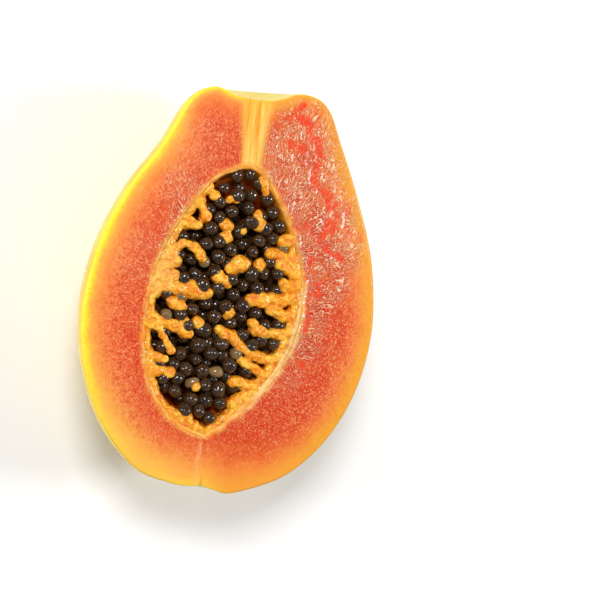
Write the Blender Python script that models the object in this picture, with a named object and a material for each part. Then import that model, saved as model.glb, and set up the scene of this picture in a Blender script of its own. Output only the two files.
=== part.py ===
"""Half of a ripe papaya, cut lengthwise, lying on its skin with the cut face up.

The origin is the middle of the small flat spot that it rests on. +Z is up, out of the cut face,
and +Y runs along the fruit to its stem end. The sizes below are in millimetres, seen from the
middle of the cut face, and the finished meshes are in metres.
"""

import math
import random

import bmesh
import bpy
from mathutils import Euler, Matrix, Vector

MM = 0.001

# Skin: the right and the left outline of the cut face, as (x, y), from the stem scar to the blossom
# end, which lies a little to the left
SKIN_RIGHT = [
    (0, 71.0), (8, 72.2), (18.5, 75.6), (28.5, 72.0), (36, 58.5), (45.5, 39), (54, 16.5),
    (57.5, -9), (53.8, -32.5), (43.6, -52.5), (28, -67), (8, -74.2), (0, -73.4), (-5.5, -71.6),
]
SKIN_LEFT = [
    (0, 71.0), (-8, 71.8), (-17, 73.9), (-26, 68.0), (-34.3, 51.5), (-44.8, 35), (-53.5, 14),
    (-57.2, -9), (-54.4, -31), (-46, -51), (-32, -66.3), (-18, -71.3), (-10, -72.2), (-5.5, -71.6),
]
SKIN_DEPTH = 0.905  # depth under the cut face, as a share of the half-width there
SKIN_LEAN = 0.0011  # how much that share grows for each mm to the stem, as the cut is a little oblique
SKIN_RIB = 0.012  # height of the five faint ribs, as a share of the radius
SKIN_STEPS = 3
SKIN_TURNS = 16
REST_DEPTH = 51.2  # from the cut face down to the flat spot
REST_POINT = (0.2, -4.5)  # the flat spot's middle

# Cavity: its right and its left outline in the cut face
CAVITY_RIGHT = [
    (0, 46), (5, 43.5), (10, 37.5), (15.3, 30), (20.5, 19.5), (24, 8),
    (24.4, -6), (22.2, -17), (17, -28), (9, -38.5), (0.6, -47.5), (-6, -52.5),
]
CAVITY_LEFT = [
    (0, 46), (-5, 44.5), (-12, 40.5), (-19.5, 31.5), (-26.2, 20), (-31, 8),
    (-32.6, -6), (-32.9, -17), (-30.3, -31), (-24.3, -42), (-15.5, -49.5), (-6, -52.5),
]
CAVITY_DEPTH = 0.86
CAVITY_STEPS = 2
CAVITY_TURNS = 14

# Pulp strands, which grow inwards from the wall: radius, then (x, y) from the wall to the tip
STRANDS = [
    (2.0, [(-19, 33), (-17, 31.5), (-15, 28.5), (-14.5, 26.5)]),
    (1.7, [(-21.5, 24), (-17, 23)]),
    (1.8, [(-26, 13), (-24, 15.5), (-21, 17), (-18.5, 16.5), (-14, 11)]),
    (2.6, [(-32, 7), (-28.5, 8), (-24.5, 9.5)]),
    (3.0, [(-32.5, 3.5), (-23.5, 4.5)]),
    (2.9, [(-32, 0), (-26.5, 0.5), (-20.5, 0), (-11, -1.5)]),
    (2.3, [(-32.5, -12), (-28, -12), (-24, -13), (-16.5, -16.5)]),
    (1.6, [(-31, -13), (-28, -15), (-26, -18), (-22.5, -22.5)]),
    (2.0, [(-31.5, -24.5), (-24.5, -26)]),
    (2.2, [(-30.5, -30), (-21, -31)]),
    (2.2, [(-20, -46), (-13.5, -47)]),
    (1.9, [(-11, -51), (-6, -52)]),
    (1.6, [(6, 43), (6.5, 40), (8, 37)]),
    (2.3, [(20.5, 21.5), (17, 21)]),
    (2.3, [(23.5, 12), (18, 15), (12.5, 16)]),
    (2.5, [(24, 8), (20, 10.5), (17, 12.5)]),
    (2.3, [(25, 4.5), (21.5, 3.5), (18.5, 5)]),
    (2.9, [(25.5, 0), (19.5, -0.5), (14.5, -2), (6, -2)]),
    (2.3, [(25, -7), (20.5, -7), (14.5, -5)]),
    (2.4, [(24, -14), (19.5, -14), (10, -13.5)]),
    (2.2, [(22, -23.5), (15.5, -23.5), (10.5, -22.5), (6, -21), (-1, -15), (-5, -14)]),
    (1.9, [(17, -31), (12.5, -28.5), (5, -24.5)]),
    (2.4, [(13.5, -35.5), (9, -34), (3, -32.5)]),
    (2.6, [(10.5, -39.5), (7, -39), (4, -40.5)]),
]
STRAND_TOP = -0.6
STRAND_STEP = 4.2
STRAND_SWELL = 0.12
ROOT = 5.0  # how far strands and stalks are sunk into the flesh
# Pulp lobes, on stalks that come straight up from the cavity's floor: x, y, radius
LOBES = [
    (-12, 34.5, 1.9), (-6, 34, 1.6), (5.5, 29, 1.7), (6.5, 26, 2.3), (0.5, 23, 1.2), (-6.5, 24.5, 2.5),
    (-6, 20, 2.3), (1.5, 11, 3.0), (-2, 9, 2.5), (-7.5, 5, 2.3), (-4, 4, 2.2), (8.5, 11, 2.3),
    (-23.5, -5.5, 2.4), (-20.5, -6.5, 2.1), (-18.5, -11.5, 1.9), (-13.5, -12, 2.3), (-1.5, -7.5, 2.1),
    (6.5, -2.5, 2.0), (8, -10.5, 1.9), (-11, -35.5, 1.6), (-3.5, 33.5, 1.2),
]
LOBE_TOP = 0.2
STALK = 0.6  # a stalk's radius, as a share of its lobe's
PULP_SIDES = 6
PULP_LUMPS = 0.12  # how unevenly round the pulp is
PULP_RANDOM = 21

# Seeds: egg-shaped, packed in the cavity up to a low dome
SEED_AXES = (2.95, 2.7, 2.6)
SEED_SPACING = 4.8
SEED_SIDES = 6
SEED_RINGS = 4
SEED_DRAWS = 12000
SEED_RANDOM = 7
SEED_GAP = 0.45  # free space between the seeds and the flesh
DOME_EDGE = -5.5  # height of the bed of seeds at the cavity's rim
DOME_RISE = 4.0  # how much higher it is in the middle
BED_DEPTH = 2.8  # the seeds' centres lie from the dome down to here
CORE_TOP = 2.2  # the packed seeds under those that show begin this far below the dome
CORE_GAP = 1.0  # from the cavity's wall
CORE_END = 5.0  # from the cavity's two ends
CORE_SLOPE = 0.7  # the core's deepest edge, as a share of the cavity's depth there
CORE_STATIONS = 10
CORE_TURNS = 6


def clear_scene():
    for thing in list(bpy.data.objects):
        bpy.data.objects.remove(thing)


def smooth_curve(points, steps):
    """A smooth curve through a row of points, with each span cut in equal steps."""
    rows = [Vector(p) for p in points]
    rows = [2 * rows[0] - rows[1], *rows, 2 * rows[-1] - rows[-2]]
    curve = []
    for a, b, c, d in zip(rows, rows[1:], rows[2:], rows[3:]):
        for k in range(steps):
            t = k / steps
            bend = (2 * a - 5 * b + 4 * c - d) * t**2 + (3 * b - a - 3 * c + d) * t**3
            curve.append(b + ((c - a) * t + bend) / 2)
    curve.append(rows[-2])
    return curve


def bridge(body, a, b):
    """Faces between two closed rings of as many points."""
    for k in range(len(a)):
        n = (k + 1) % len(a)
        body.faces.new((a[k], a[n], b[n], b[k]))


def add_object(name, body, finish=None):
    """A new object from a bmesh in millimetres."""
    bmesh.ops.recalc_face_normals(body, faces=body.faces)
    bmesh.ops.scale(body, vec=(MM, MM, MM), verts=body.verts)
    mesh = bpy.data.meshes.new(name)
    body.to_mesh(mesh)
    body.free()
    if finish:
        mesh.materials.append(finish)
    made = bpy.data.objects.new(name, mesh)
    bpy.context.scene.collection.objects.link(made)
    return made


def material(name, colour, roughness):
    made = bpy.data.materials.new(name)
    made.use_nodes = True
    shader = made.node_tree.nodes["Principled BSDF"]
    shader.inputs["Base Color"].default_value = (*colour, 1)
    shader.inputs["Roughness"].default_value = roughness
    shader.inputs["Metallic"].default_value = 0.0
    return made


def join(target, others, operation):
    """One Boolean of a whole collection on target, applied, with the collection's objects then removed.

    The exact solver leaves open or touching edges round the cavity's rim and where seeds and lumps cross.
    """
    group = bpy.data.collections.new("joined")
    bpy.context.scene.collection.children.link(group)
    for other in others:
        bpy.context.scene.collection.objects.unlink(other)
        group.objects.link(other)
    boolean = target.modifiers.new("join", "BOOLEAN")
    boolean.operation = operation
    boolean.operand_type = "COLLECTION"
    boolean.collection = group
    boolean.solver = "MANIFOLD"
    evaluated = target.evaluated_get(bpy.context.evaluated_depsgraph_get())
    target.data = bpy.data.meshes.new_from_object(evaluated)
    target.modifiers.clear()
    for other in others:
        bpy.data.objects.remove(other)
    bpy.data.collections.remove(group)


def island_from(start):
    """All the points that edges join to one point."""
    island = {start}
    front = [start]
    while front:
        for edge in front.pop().link_edges:
            for point in edge.verts:
                if point not in island:
                    island.add(point)
                    front.append(point)
    return island


def keep_largest(thing):
    """Drops the loose scraps that a cut left beside the main body."""
    body = bmesh.new()
    body.from_mesh(thing.data)
    left = set(body.verts)
    islands = []
    while left:
        islands.append(island_from(next(iter(left))))
        left -= islands[-1]
    largest = max(islands, key=len)
    bmesh.ops.delete(body, geom=[v for v in body.verts if v not in largest], context="VERTS")
    body.to_mesh(thing.data)
    body.free()


# Fruit and cavity


def pod_rings(body, right, left, depth, steps, half_turn, arc, lean=0.0, rib=0.0):
    """Rings of arc points each, from a right outline round under the fruit to a left one."""
    rings = []
    for r, l in zip(smooth_curve(right, steps)[1:-1], smooth_curve(left, steps)[1:-1]):
        ring = []
        for j in range(arc):
            turn = math.pi * j / half_turn
            along = l.y + (r.y - l.y) * (1 + math.cos(turn)) / 2
            radius = (r.x - l.x) / 2 * (1 + rib * math.sin(turn) ** 2 * math.cos(5 * (turn - math.pi / 2)))
            down = radius * depth * (1 + lean * along) * math.sin(turn)
            ring.append(body.verts.new(((r.x + l.x) / 2 + radius * math.cos(turn), along, -down)))
        rings.append(ring)
    return rings


def half_fruit():
    """The skin's form below the cut face, closed by that face and by the flat spot."""
    body = bmesh.new()
    rings = pod_rings(
        body, SKIN_RIGHT, SKIN_LEFT, SKIN_DEPTH, SKIN_STEPS, SKIN_TURNS, SKIN_TURNS + 1, SKIN_LEAN, SKIN_RIB
    )
    stem = body.verts.new((*SKIN_RIGHT[0], 0))
    blossom = body.verts.new((*SKIN_RIGHT[-1], 0))
    for j in range(SKIN_TURNS):
        for a, b in zip(rings, rings[1:]):
            body.faces.new((a[j], a[j + 1], b[j + 1], b[j]))
        body.faces.new((stem, rings[0][j], rings[0][j + 1]))
        body.faces.new((blossom, rings[-1][j], rings[-1][j + 1]))
    body.faces.new([stem, *[ring[0] for ring in rings], blossom, *[ring[-1] for ring in reversed(rings)]])
    cut = bmesh.ops.bisect_plane(
        body,
        geom=[*body.verts, *body.edges, *body.faces],
        plane_co=(0, 0, -REST_DEPTH),
        plane_no=(0, 0, -1),
        clear_outer=True,
    )
    rim = [item for item in cut["geom_cut"] if isinstance(item, bmesh.types.BMEdge)]
    bmesh.ops.contextual_create(body, geom=rim)
    return body


def hollow():
    """The cavity's form, closed above the cut face by its own mirror image."""
    body = bmesh.new()
    rings = pod_rings(
        body, CAVITY_RIGHT, CAVITY_LEFT, CAVITY_DEPTH, CAVITY_STEPS, CAVITY_TURNS, 2 * CAVITY_TURNS
    )
    for a, b in zip(rings, rings[1:]):
        bridge(body, a, b)
    for outline_end, ring in ((CAVITY_RIGHT[0], rings[0]), (CAVITY_RIGHT[-1], rings[-1])):
        tip = body.verts.new((*outline_end, 0))
        for k in range(len(ring)):
            body.faces.new((tip, ring[k], ring[k - 1]))
    return body


RIGHT_CURVE = smooth_curve(CAVITY_RIGHT, 8)
LEFT_CURVE = smooth_curve(CAVITY_LEFT, 8)


def edge_at(outline, y):
    """How far to the right an outline of the cavity is, at a place along the fruit."""
    rows = sorted((p.y, p.x) for p in outline)
    for (y0, x0), (y1, x1) in zip(rows, rows[1:]):
        if y0 <= y < y1:
            return x0 + (x1 - x0) * (y - y0) / (y1 - y0)
    return rows[0][1] if y < rows[0][0] else rows[-1][1]


def middle_and_reach(y):
    """The middle of the cavity at a place along the fruit, and its half-width there."""
    right, left = edge_at(RIGHT_CURVE, y), edge_at(LEFT_CURVE, y)
    return (right + left) / 2, (right - left) / 2


def filling(x, y, z):
    """0 in the cavity's middle and 1 on its wall. Above the cut face only the outline counts."""
    middle, reach = middle_and_reach(y)
    return math.hypot(x - middle, max(-z, 0) / CAVITY_DEPTH) / max(reach, 0.5)


# Pulp


def strand_path(radius, points):
    """A strand's line of (centre, radius), from its root in the flesh to its tip."""
    start, second = Vector(points[0]), Vector(points[1])
    root = start + (start - second).normalized() * ROOT
    line = smooth_curve([root, *points], 4)
    kept = [line[0]]
    for p in line[1:-1]:
        if (p - kept[-1]).length > STRAND_STEP and (p - line[-1]).length > STRAND_STEP / 2:
            kept.append(p)
    kept.append(line[-1])
    path = []
    for i, p in enumerate(kept):
        swell = 1 + STRAND_SWELL * math.sin(2.1 * i + points[0][1])
        path.append((Vector((p.x, p.y, STRAND_TOP - radius)), radius * swell))
    return path


def lobe_path(x, y, radius):
    """A lobe's line of (centre, radius), from its root under the cavity's floor to its round top."""
    floor = 0.0
    while filling(x, y, floor) < 1:
        floor -= 0.5
    return [
        (Vector((x, y, floor - ROOT)), radius * STALK * 1.3),
        (Vector((x, y, LOBE_TOP - 1.5 - 2.6 * radius)), radius * STALK),
        (Vector((x, y, LOBE_TOP - 1.7 * radius)), radius * 0.92),
        (Vector((x, y, LOBE_TOP - 0.8 * radius)), radius),
    ]


def pulp_paths():
    return [strand_path(*strand) for strand in STRANDS] + [lobe_path(*lobe) for lobe in LOBES]


def pulp_tube(path, number, grow=0.0):
    """A lumpy tube with a round tip along a path. grow makes it fatter all round."""
    draw = random.Random(PULP_RANDOM + number)
    body = bmesh.new()
    rings = []
    for i, (centre, radius) in enumerate(path):
        heading = path[min(i + 1, len(path) - 1)][0] - path[max(i - 1, 0)][0]
        turned = heading.to_track_quat("Z", "Y")
        ring = []
        for k in range(PULP_SIDES):
            angle = math.tau * k / PULP_SIDES
            lump = radius * draw.uniform(1 - PULP_LUMPS, 1 + PULP_LUMPS) + grow
            spoke = Vector((math.cos(angle), math.sin(angle), 0)) * lump
            ring.append(body.verts.new(centre + turned @ spoke))
        rings.append(ring)
    last, radius = path[-1]
    heading = (last - path[-2][0]).normalized()
    crown = heading * (0.62 * radius + grow)
    rings.append([body.verts.new(v.co.lerp(last, 0.42) + crown) for v in rings[-1]])
    for a, b in zip(rings, rings[1:]):
        bridge(body, a, b)
    body.faces.new(rings[0])
    tip = body.verts.new(last + heading * (0.8 * radius + 1.2 * grow))
    for k in range(PULP_SIDES):
        body.faces.new((rings[-1][k - 1], rings[-1][k], tip))
    return body


# Seeds


def dome(x, y):
    """Height of the bed of seeds at a place in the cut face."""
    return DOME_EDGE + DOME_RISE * math.sqrt(max(0.0, 1 - filling(x, y, 0) ** 2))


def clear_of_wall(centre, reach):
    """True where a ball of that radius doesn't touch the cavity's wall."""
    for eighth in range(8):
        for tilt in (-0.8, 0.0, 0.8):
            turned = Euler((0, tilt, math.tau * eighth / 8)).to_matrix()
            if filling(*(centre + turned @ Vector((reach, 0, 0)))) > 1:
                return False
    return True


def clear_of_pulp(centre, spots):
    return all((centre - spot).length > radius for spot, radius in spots)


def seed_places(paths):
    """Centres and turns of the seeds that show, dropped at random and kept where there is room."""
    draw = random.Random(SEED_RANDOM)
    spots = []
    for path in paths:
        for (a, ra), (b, rb) in zip(path, path[1:]):
            spots += [(a.lerp(b, k / 4), ra + (rb - ra) * k / 4) for k in range(5)]
    leftmost, rightmost = min(x for x, _ in CAVITY_LEFT), max(x for x, _ in CAVITY_RIGHT)
    places = []
    for _ in range(SEED_DRAWS):
        x = draw.uniform(leftmost, rightmost)
        y = draw.uniform(CAVITY_LEFT[-1][1], CAVITY_LEFT[0][1])
        sink = BED_DEPTH * draw.random() ** 1.6
        turn = Euler([draw.uniform(0, math.pi) for _ in range(3)])
        centre = Vector((x, y, dome(x, y) - sink))
        if any((centre - other).length < SEED_SPACING for other, _ in places):
            continue
        if clear_of_pulp(centre, spots) and clear_of_wall(centre, max(SEED_AXES) + SEED_GAP):
            places.append((centre, turn))
    return places


def seed_body(centre, turn):
    body = bmesh.new()
    place = Matrix.LocRotScale(centre, turn, Vector(SEED_AXES))
    bmesh.ops.create_uvsphere(body, u_segments=SEED_SIDES, v_segments=SEED_RINGS, radius=1.0, matrix=place)
    return body


def core_body():
    """The packed seeds below those that show: the cavity's own form, a gap smaller, under a low dome."""
    body = bmesh.new()
    low, high = CAVITY_RIGHT[-1][1] + CORE_END, CAVITY_RIGHT[0][1] - CORE_END
    rings = []
    for i in range(CORE_STATIONS + 1):
        y = low + (high - low) * i / CORE_STATIONS
        middle, reach = middle_and_reach(y)
        depth = CAVITY_DEPTH * reach
        first = math.asin(min(CORE_TOP - DOME_EDGE, CORE_SLOPE * depth) / depth)
        radius = reach - CORE_GAP
        ring = []
        for j in range(CORE_TURNS + 1):
            turn = first + (math.pi - 2 * first) * j / CORE_TURNS
            side = middle + radius * math.cos(turn)
            ring.append(Vector((side, y, -CAVITY_DEPTH * radius * math.sin(turn))))
        right, left = ring[0], ring[-1]
        for j in range(1, CORE_TURNS):
            turn = math.pi * j / CORE_TURNS
            rise = Vector((0, 0, DOME_RISE * math.sin(turn)))
            ring.append(left.lerp(right, (1 - math.cos(turn)) / 2) + rise)
        rings.append([body.verts.new(p) for p in ring])
    for a, b in zip(rings, rings[1:]):
        bridge(body, a, b)
    body.faces.new(rings[0])
    body.faces.new(rings[-1])
    return body


# Assembly


def build_papaya_half(paths):
    fruit = add_object("papaya_half", half_fruit(), material("papaya_flesh", (0.86, 0.23, 0.06), 0.35))
    join(fruit, [add_object("cavity", hollow())], "DIFFERENCE")
    pulp = [add_object(f"pulp_{i}", pulp_tube(path, i)) for i, path in enumerate(paths)]
    join(fruit, pulp, "UNION")
    return fruit


def build_seeds(paths):
    seeds = add_object("seeds", core_body(), material("papaya_seed", (0.035, 0.024, 0.018), 0.2))
    bodies = [seed_body(*place) for place in seed_places(paths)]
    join(seeds, [add_object(f"seed_{i}", body) for i, body in enumerate(bodies)], "UNION")
    room = [add_object(f"room_{i}", pulp_tube(path, i, SEED_GAP)) for i, path in enumerate(paths)]
    join(seeds, room, "DIFFERENCE")
    keep_largest(seeds)
    return seeds


def build():
    clear_scene()
    paths = pulp_paths()
    to_rest_point = Matrix.Translation(Vector((-REST_POINT[0], -REST_POINT[1], REST_DEPTH)) * MM)
    for thing in (build_papaya_half(paths), build_seeds(paths)):
        thing.data.transform(to_rest_point)
        thing.data.shade_smooth()
        thing.data.set_sharp_from_angle(angle=math.radians(40))


build()
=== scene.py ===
import math
import random

import bmesh
import bpy
import numpy as np
from mathutils import Euler, Matrix, Vector
from mathutils.kdtree import KDTree


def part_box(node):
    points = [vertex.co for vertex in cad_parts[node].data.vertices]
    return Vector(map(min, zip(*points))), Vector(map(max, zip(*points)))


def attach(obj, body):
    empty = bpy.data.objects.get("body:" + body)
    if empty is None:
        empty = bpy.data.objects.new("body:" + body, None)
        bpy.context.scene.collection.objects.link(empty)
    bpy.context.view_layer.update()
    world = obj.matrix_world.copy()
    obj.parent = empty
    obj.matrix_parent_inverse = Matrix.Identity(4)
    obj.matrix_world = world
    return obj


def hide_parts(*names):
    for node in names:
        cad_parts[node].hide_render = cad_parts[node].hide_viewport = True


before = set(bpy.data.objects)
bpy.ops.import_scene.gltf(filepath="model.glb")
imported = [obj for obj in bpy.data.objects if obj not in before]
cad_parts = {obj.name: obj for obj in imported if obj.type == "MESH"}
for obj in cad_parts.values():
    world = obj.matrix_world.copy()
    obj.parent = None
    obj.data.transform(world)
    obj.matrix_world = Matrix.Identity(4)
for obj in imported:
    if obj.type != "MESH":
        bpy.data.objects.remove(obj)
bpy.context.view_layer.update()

# Fruit half
# One half of a ripe fruit, cut lengthwise with a knife: thin waxy skin, flesh that turns from yellow
# under the skin to salmon red, and the wall of the seed cavity. It grew as one piece and is one
# closed body here. Its places are in millimetres from the middle of the cut face.

MM = 0.001
SKIN_RIGHT = [
    (0, 71.0), (8, 72.2), (18.5, 75.6), (28.5, 72.0), (36, 58.5), (45.5, 39), (54, 16.5),
    (57.5, -9), (53.8, -32.5), (43.6, -52.5), (28, -67), (8, -74.2), (0, -73.4), (-5.5, -71.6),
]
SKIN_LEFT = [
    (0, 71.0), (-8, 71.8), (-17, 73.9), (-26, 68.0), (-34.3, 51.5), (-44.8, 35), (-53.5, 14),
    (-57.2, -9), (-54.4, -31), (-46, -51), (-32, -66.3), (-18, -71.3), (-10, -72.2), (-5.5, -71.6),
]
SKIN_DEPTH = 0.905  # depth under the cut face, as a share of the half-width there
SKIN_LEAN = 0.0011  # how much that share grows for each mm to the stem
SKIN_RIB = 0.012  # height of the five faint ribs, as a share of the radius
CAVITY_RIGHT = [
    (0, 46), (5, 43.5), (10, 37.5), (15.3, 30), (20.5, 19.5), (24, 8),
    (24.4, -6), (22.2, -17), (17, -28), (9, -38.5), (0.6, -47.5), (-6, -52.5),
]
CAVITY_LEFT = [
    (0, 46), (-5, 44.5), (-12, 40.5), (-19.5, 31.5), (-26.2, 20), (-31, 8),
    (-32.6, -6), (-32.9, -17), (-30.3, -31), (-24.3, -42), (-15.5, -49.5), (-6, -52.5),
]
CAVITY_DEPTH = 0.86  # its depth, as a share of its own half-width
REST_POINT = (0.2, -4.5)  # the middle of the flat spot, under the cut face
LOBE_TOP = 0.2  # how far the highest lobes of pulp stand above the cut face
CUT_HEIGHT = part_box("papaya_half")[1][2] / MM - LOBE_TOP
TO_REST = Vector((-REST_POINT[0], -REST_POINT[1], CUT_HEIGHT))  # from the cut face to the frame's origin
STATIONS = 400  # along each side, from stem to blossom end
SKIN_TURNS = 60  # round under the fruit, from one edge to the other
WALL_TURNS = 28
CUT_ROWS = 60  # from the cavity out to the skin
EDGE_REACH = 1.3  # how far from a knife-sharp edge its rounding reaches
RIM_HEIGHT = 0.3  # the lining stands up a little, as the flesh beside it shrinks
FAR = 25.0  # stands for a distance that doesn't matter
WRINKLE = (5.0, 6.5, 1.0)  # the torn flesh's wrinkles: width, length outwards, depth
RIPPLE = 11.0  # round the fruit, for one full turn of the wrinkles' value
LINE_LEFT = 6.5  # the pale line to the blossom end is that far left of the middle
SCAR_LEFT = 4.9  # and the brown line of the scar at its lower end
# Where the cut face is torn and beaded with juice: x, y, reach, strength
WET_PATCHES = [
    (29, 70, 12, 0.9), (18, 62, 15, 0.9), (30, 56, 18, 1.0), (14, 50, 14, 0.9), (24, 40, 15, 1.0),
    (36, 32, 16, 1.0), (40, 22, 14, 1.0), (28, 14, 14, 1.0), (36, 6, 11, 0.85), (29, -4, 11, 0.8),
    (27, -15, 12, 0.8), (23, -27, 10, 0.35), (-18, 34, 7, 0.6), (-22.4, 26.6, 8, 1.0),
    (-25, 19, 7, 1.0), (-29, 12, 6, 0.7), (-20, 52, 12, 0.25), (-38, 10, 12, 0.2), (-26, 37, 9, 0.45),
]
# Smooth, deep red streaks among them: strength and course
RED_STREAKS = [
    (1.0, [
        (18.2, 72.7), (16.4, 67.8), (20.7, 65.1), (22.5, 61.0), (25.6, 58.4), (27.1, 53.4), (25.6, 48.2),
        (26.2, 43.6), (30.3, 40.6), (33.4, 35.7), (33.2, 27.4), (31.3, 22.4), (35.9, 19.0), (40.4, 16.4),
    ]),
    (0.8, [(16.4, 67.8), (13.0, 65.8)]),
    (1.0, [(14.6, 56.0), (17.9, 54.9), (19.4, 56.2)]),
    (0.8, [(24.3, 26.6), (26.1, 25.2)]),
    (0.9, [(35.5, 36.0), (36.0, 31.0), (35.0, 26.0)]),
    (0.8, [(30.7, 17.4), (25.5, 9.4), (33.5, 5.2), (28.2, 1.0), (27.5, -3.2), (29.5, -6.4), (28.5, -11.4)]),
    (0.5, [(39.0, 37.4), (41.0, 31.2), (40.9, 25.5)]),
    (0.8, [(28.4, -23.5), (30.2, -24.9)]),
]
STREAK_REACH = 3.5  # from the middle of a streak to where it has faded


def curve_at(points, places):
    """Points on a smooth curve through a row of points, at places counted in its spans."""
    rows = np.array(points, float)
    rows = np.vstack([2 * rows[0] - rows[1], rows, 2 * rows[-1] - rows[-2]])
    span = np.clip(places.astype(int), 0, len(points) - 2)
    t = (places - span)[:, None]
    a, b, c, d = (rows[span + k] for k in range(4))
    bend = (2 * a - 5 * b + 4 * c - d) * t**2 + (3 * b - a - 3 * c + d) * t**3
    return b + ((c - a) * t + bend) / 2


def run_along(line):
    """How far along a line each of its points is."""
    return np.concatenate([[0], np.cumsum(np.linalg.norm(np.diff(line, axis=0), axis=1))])


def half_pod(right, left, depth, turns, lean=0.0, rib=0.0):
    """Points from a right outline round under the fruit to a left one, by turn and station."""
    fine = np.linspace(0, len(right) - 1, 4000)
    run = run_along((curve_at(right, fine) + curve_at(left, fine) * (-1, 1)) / 2)
    places = np.interp(np.linspace(0, run[-1], STATIONS + 1), run, fine)
    r, l = curve_at(right, places), curve_at(left, places)
    turn = np.linspace(0, math.pi, turns + 1)[:, None]
    along = l[:, 1] + (r[:, 1] - l[:, 1]) * (1 + np.cos(turn)) / 2
    radius = (r[:, 0] - l[:, 0]) / 2 * (1 + rib * np.sin(turn) ** 2 * np.cos(5 * (turn - math.pi / 2)))
    down = radius * depth * (1 + lean * along) * np.sin(turn)
    return np.stack([(r[:, 0] + l[:, 0]) / 2 + radius * np.cos(turn), along, -down], axis=-1)


def ease(value, low, high):
    """0 below low, 1 above high and smooth between."""
    t = np.clip((value - low) / (high - low), 0, 1)
    return t * t * (3 - 2 * t)


def distances(points, outline):
    """How far each point of the cut face is from an outline."""
    tree = KDTree(len(outline))
    for i, spot in enumerate(outline):
        tree.insert(spot, i)
    tree.balance()
    return np.array([tree.find(spot)[2] for spot in points])


def patches(points, spots):
    """1 in the middle of a full patch, fading to 0 at its reach."""
    strongest = np.zeros(len(points))
    for x, y, reach, strength in spots:
        away = np.hypot(points[:, 0] - x, points[:, 1] - y)
        strongest = np.maximum(strongest, strength * (1 - ease(away, 0.45 * reach, 1.1 * reach)))
    return strongest


def streaks(points, courses):
    """1 on the middle of a full streak, fading to 0 at its reach."""
    strongest = np.zeros(len(points))
    for strength, course in courses:
        line = curve_at(course, np.linspace(0, len(course) - 1, 12 * len(course)))
        away = distances(points, np.pad(line, ((0, 0), (0, 1))))
        strongest = np.maximum(strongest, strength * (1 - ease(away, 0, STREAK_REACH)))
    return strongest


def add_object(name, mesh):
    made = bpy.data.objects.new(name, mesh)
    bpy.context.scene.collection.objects.link(made)
    return made


def add_fact(mesh, name, values, domain="POINT", kind="FLOAT", field="value"):
    layer = mesh.attributes.new(name, kind, domain)
    layer.data.foreach_set(field, np.asarray(values, np.float32).ravel())


def fruit_body():
    """The closed mesh, with what its relief and its materials need to know at each point."""
    skin = half_pod(SKIN_RIGHT, SKIN_LEFT, SKIN_DEPTH, SKIN_TURNS, SKIN_LEAN, SKIN_RIB)
    skin[..., 2] = np.maximum(skin[..., 2], -CUT_HEIGHT)
    wall = half_pod(CAVITY_RIGHT, CAVITY_LEFT, CAVITY_DEPTH, WALL_TURNS)
    out = np.linspace(0, 1, CUT_ROWS + 1)[:, None, None]
    cut_right, cut_left = (wall[edge] + (skin[edge] - wall[edge]) * out for edge in (0, -1))
    grids = [skin, wall, cut_right, cut_left]
    points = np.concatenate([grid.reshape(-1, 3) for grid in grids])
    part = np.concatenate([np.full(grid[..., 0].size, i) for i, grid in enumerate(grids)])
    on_cut = part > 1

    from_skin = np.where(part == 0, 0, FAR)
    from_cavity = np.where(part == 0, FAR, points[:, 2])
    from_skin[on_cut] = distances(points[on_cut], np.concatenate([skin[0], skin[-1]]))
    from_cavity[on_cut] = distances(points[on_cut], np.concatenate([wall[0], wall[-1]]))
    from_edge = np.where(on_cut, np.minimum(from_skin, from_cavity), -points[:, 2])
    # round the fruit, to the right and to the left of the stem, for fibres that grow straight outwards
    near, far = run_along(cut_right[0]), run_along(cut_right[-1])
    side_run = np.tile((near + far) / 2, CUT_ROWS + 1)
    run = np.concatenate([np.zeros((part < 2).sum()), side_run, -side_run])
    smooth_red = np.zeros(len(points))
    smooth_red[on_cut] = streaks(points[on_cut], RED_STREAKS)
    raised = ease(from_cavity, 0, 0.8) * (1 - ease(from_cavity, 1.6, 4.5)) * on_cut
    points[:, 2] += RIM_HEIGHT * raised

    flat = np.round(points, 4)
    _, index = np.unique(flat, axis=0, return_inverse=True)
    index = index.ravel()
    keep = np.zeros(index.max() + 1, int)
    keep[index] = np.arange(len(points))  # an edge takes what the cut face says, as that comes last
    faces, on_skin, first = [], [], 0
    for number, grid in enumerate(grids):
        rows, columns = grid.shape[:2]
        corner = (first + np.arange(rows - 1)[:, None] * columns + np.arange(columns - 1)).ravel()
        quads = np.stack([corner, corner + 1, corner + columns + 1, corner + columns], axis=-1)
        rings = [tuple(dict.fromkeys(quad)) for quad in index[quads].tolist()]
        faces += [ring for ring in rings if len(ring) > 2]
        on_skin += [number == 0] * (len(faces) - len(on_skin))
        first += rows * columns
    mesh = bpy.data.meshes.new("fruit_half")
    mesh.from_pydata(points[keep].tolist(), [], faces)
    facts = {
        "from_skin": from_skin,
        "from_cavity": from_cavity,
        "on_cut": on_cut * ease(from_edge, 0.3, 2.0),
        "near_edge": 1 - ease(from_edge, 0.15, EDGE_REACH),
        "wet": patches(points, WET_PATCHES) * on_cut,
        "smooth_red": smooth_red,
        "lining": 1 - ease(from_cavity, 1.5, 4.5),
    }
    for name, values in facts.items():
        add_fact(mesh, name, values[keep])
    fibre = np.stack([run, np.abs(from_cavity), np.zeros(len(points))], axis=-1)
    add_fact(mesh, "fibre", fibre[keep] * MM, kind="FLOAT_VECTOR", field="vector")
    add_fact(mesh, "skin_face", on_skin, domain="FACE")
    mesh.transform(Matrix.Translation(TO_REST * MM) @ Matrix.Scale(MM, 4))
    body = bmesh.new()
    body.from_mesh(mesh)
    bmesh.ops.recalc_face_normals(body, faces=body.faces)
    body.to_mesh(mesh)
    body.free()
    return mesh


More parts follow.
